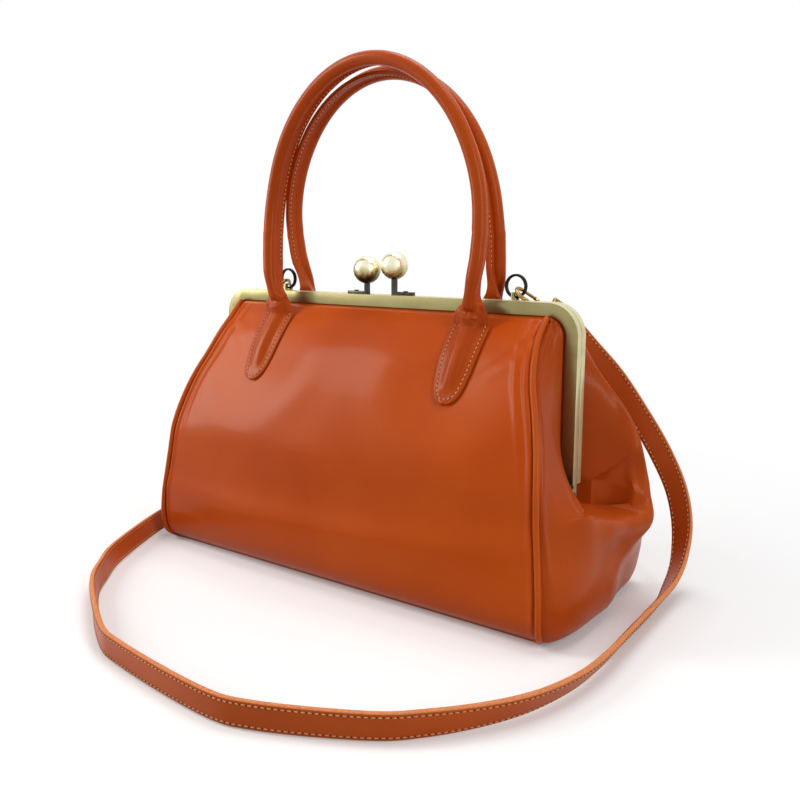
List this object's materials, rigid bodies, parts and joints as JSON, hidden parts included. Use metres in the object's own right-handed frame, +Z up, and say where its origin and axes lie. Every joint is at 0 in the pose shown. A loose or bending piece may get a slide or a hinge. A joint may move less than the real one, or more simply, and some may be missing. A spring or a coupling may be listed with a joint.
{
  "type": "kiss lock frame purse",
  "caption": "Leather purse hung from a hinged metal channel frame with a ball kiss lock, two rolled handles, sewn tabs and a clip-on shoulder strap.",
  "frame": {"origin": "on the floor under the middle of the bag, halfway between the two frame legs", "axes": "+Z up, +X to the right along the frame, the front panel faces -Y"},
  "size_m": [0.4061, 0.3077, 0.3487],
  "materials": {
    "frame_metal": "antique brass plate, brushed, with bright worn edges",
    "rivet_metal": "dull antique brass",
    "ball_brass": "polished antique brass with dark patina",
    "dark_metal": "dark gunmetal",
    "packing_strip": "paper cord",
    "lining_cloth": "woven lining cloth",
    "board": "stiff base board",
    "rope_core": "cotton rope",
    "black_wire": "blackened spring wire",
    "hook_brass": "antique brass",
    "piping_leather": "glossy smooth leather",
    "handle_leather": "glossy smooth leather",
    "strap_leather": "glossy smooth leather",
    "gusset_leather": "glossy smooth leather",
    "panel_leather": "glossy smooth leather"
  },
  "bodies": {
    "bag": {"back_frame": "frame_metal", "hinge_rivet_right": "rivet_metal", "hinge_rivet_left": "rivet_metal", "back_clasp_arm": "dark_metal", "back_clasp_ball": "ball_brass", "back_clasp_pin": "dark_metal", "back_packing": "packing_strip", "back_panel": "panel_leather", "front_panel_lower": "panel_leather", "back_gusset_right": "gusset_leather", "back_gusset_left": "gusset_leather", "lower_gusset_right": "gusset_leather", "lower_gusset_left": "gusset_leather", "base_leather": "panel_leather", "base_board": "board", "back_piping": "piping_leather", "front_piping_lower": "piping_leather", "lining_tub": "lining_cloth", "back_lining": "lining_cloth", "back_tab_right": "handle_leather", "back_tab_left": "handle_leather", "back_neck_right": "handle_leather", "back_neck_left": "handle_leather", "ring_eye_right": "rivet_metal", "ring_eye_left": "rivet_metal", "split_ring_right": "black_wire", "split_ring_left": "black_wire", "snap_hook_right": "hook_brass", "snap_hook_left": "hook_brass", "hook_swivel_right": "hook_brass", "hook_swivel_left": "hook_brass", "shoulder_strap": "strap_leather"},
    "front_half": {"front_frame": "frame_metal", "front_clasp_arm": "dark_metal", "front_clasp_ball": "ball_brass", "front_clasp_pin": "dark_metal", "front_packing": "packing_strip", "front_panel_fold": "panel_leather", "front_panel_upper": "panel_leather", "front_gusset_right": "gusset_leather", "front_gusset_left": "gusset_leather", "front_piping_fold_right": "piping_leather", "front_piping_fold_left": "piping_leather", "front_piping_upper_right": "piping_leather", "front_piping_upper_left": "piping_leather", "front_lining": "lining_cloth", "front_tab_right": "handle_leather", "front_tab_left": "handle_leather", "front_neck_right": "handle_leather", "front_neck_left": "handle_leather"},
    "front_handle": {"front_handle_cover": "handle_leather", "front_handle_core": "rope_core"},
    "back_handle": {"back_handle_cover": "handle_leather", "back_handle_core": "rope_core"},
    "right_gate": {"hook_gate_right": "hook_brass"},
    "left_gate": {"hook_gate_left": "hook_brass"}
  },
  "joints": [
    {"name": "frame_hinge", "type": "hinge", "parent": "bag", "child": "front_half", "pos_m": [0, 0, 0.073], "axis": [1, 0, 0], "range_deg": [0, 60], "deforming": ["front_panel_fold", "front_piping_fold_right", "front_piping_fold_left", "front_gusset_right", "front_gusset_left"]},
    {"name": "front_handle_fold", "type": "hinge", "parent": "front_half", "child": "front_handle", "pos_m": [0, -0.0222, 0.201], "axis": [1, 0, 0], "range_deg": [0, 60], "deforming": ["front_neck_right", "front_neck_left"]},
    {"name": "back_handle_fold", "type": "hinge", "parent": "bag", "child": "back_handle", "pos_m": [0, 0.0144, 0.201], "axis": [-1, 0, 0], "range_deg": [0, 80], "deforming": ["back_neck_right", "back_neck_left"]},
    {"name": "right_gate_hinge", "type": "hinge", "parent": "bag", "child": "right_gate", "pos_m": [0.10585, 0.01973, 0.19268], "axis": [0.7177, 0.0148, 0.6962], "range_deg": [0, 14], "stiffness_Nm_per_rad": 0.004},
    {"name": "left_gate_hinge", "type": "hinge", "parent": "bag", "child": "left_gate", "pos_m": [-0.10585, 0.01973, 0.19268], "axis": [0.7177, -0.0148, -0.6962], "range_deg": [0, 14], "stiffness_Nm_per_rad": 0.004}
  ]
}
